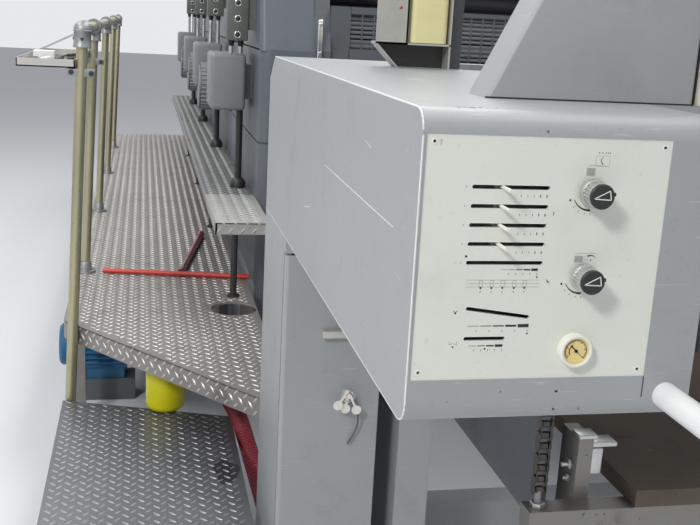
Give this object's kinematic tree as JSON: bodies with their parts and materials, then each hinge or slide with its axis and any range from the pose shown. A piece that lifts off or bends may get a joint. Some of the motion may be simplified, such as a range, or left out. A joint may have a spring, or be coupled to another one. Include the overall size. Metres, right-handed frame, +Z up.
{
  "type": "sheet-fed offset printing press",
  "caption": "Sheet-fed offset printing press in line, with delivery console, printing units, inking towers, feeder and raised walkways.",
  "frame": {"origin": "on the floor under the middle of the row of printing units", "axes": "+Y runs along the press from the delivery end to the feeder end, +X points to the drive side, +Z is up"},
  "size_m": [3.396, 10.337, 1.96],
  "materials": {
    "cover": "satin dark blue-grey enamel",
    "casting": "painted casting",
    "roller": "ground steel",
    "ink_roller": "matte ink roller rubber",
    "console": "light blue-grey powder coat",
    "panel": "pale cream enamel",
    "knob": "black with silver skirt",
    "lever": "ivory tipped pin",
    "gauge": "white rim",
    "motor": "grey enamel",
    "button_box": "dark grey green",
    "steel": "worn steel",
    "zinc": "galvanised sheet",
    "white_tube": "white enamel",
    "chain": "oily steel",
    "board": "pile board wood",
    "tread": "worn tread plate",
    "dark_tread": "dark tread plate",
    "rail": "yellow passivated tube",
    "pump": "blue enamel",
    "bowl": "yellow enamel",
    "hose": "red ribbed hose"
  },
  "bodies": {
    "press": {"bed": "casting", "operator_covers": "cover", "drive_covers": "cover", "unit_1_frame": "casting", "unit_2_frame": "casting", "unit_3_frame": "casting", "unit_4_frame": "casting", "unit_1_cylinders": "roller", "unit_2_cylinders": "roller", "unit_3_cylinders": "roller", "unit_4_cylinders": "roller", "unit_1_inker": "ink_roller", "unit_2_inker": "ink_roller", "unit_3_inker": "ink_roller", "unit_4_inker": "ink_roller", "motor_boxes": "motor", "button_boxes": "button_box", "operator_console": "console", "drive_console": "console", "control_panel": "panel", "vacuum_gauge": "gauge", "leg_cabinet": "console", "drive_leg": "console", "delivery_columns": "console", "side_plates": "casting", "delivery_hood": "console", "powder_box": "zinc", "guard_bar": "white_tube", "hoist_chains": "chain", "pile_carriage": "steel", "pile_board": "board", "chain_tunnel": "cover", "platforms": "tread", "step_boards": "tread", "lower_steps": "dark_tread", "handrails": "rail", "tool_tray": "zinc", "pump": "pump", "filter_bowl": "bowl", "suction_hose": "hose", "feed_board": "zinc", "feeder_frame": "cover", "feeder_pile_board": "board", "suction_head": "steel"},
    "knob_upper": {"knob_upper": "knob"},
    "knob_lower": {"knob_lower": "knob"},
    "lever_1": {"lever_1": "lever"},
    "lever_2": {"lever_2": "lever"},
    "lever_3": {"lever_3": "lever"},
    "lever_4": {"lever_4": "lever"},
    "door": {"service_door": "console"}
  },
  "joints": [
    {"name": "knob_upper_turn", "type": "hinge", "parent": "press", "child": "knob_upper", "pos_m": [-0.844, -4.895, 1.291], "axis": [0, -1, 0], "range_deg": [-135, 135]},
    {"name": "knob_lower_turn", "type": "hinge", "parent": "press", "child": "knob_lower", "pos_m": [-0.844, -4.895, 1.19], "axis": [0, -1, 0], "range_deg": [-135, 135]},
    {"name": "lever_1_slide", "type": "slide", "parent": "press", "child": "lever_1", "axis": [1, 0, 0], "range_m": [-0.033, 0.053]},
    {"name": "lever_2_slide", "type": "slide", "parent": "press", "child": "lever_2", "axis": [1, 0, 0], "range_m": [-0.033, 0.053]},
    {"name": "lever_3_slide", "type": "slide", "parent": "press", "child": "lever_3", "axis": [1, 0, 0], "range_m": [-0.033, 0.053]},
    {"name": "lever_4_slide", "type": "slide", "parent": "press", "child": "lever_4", "axis": [1, 0, 0], "range_m": [-0.033, 0.053]},
    {"name": "door_swing", "type": "hinge", "parent": "press", "child": "door", "pos_m": [-1.042, -3.865, 0.5], "axis": [0, 0, -1], "range_deg": [0, 100]}
  ]
}
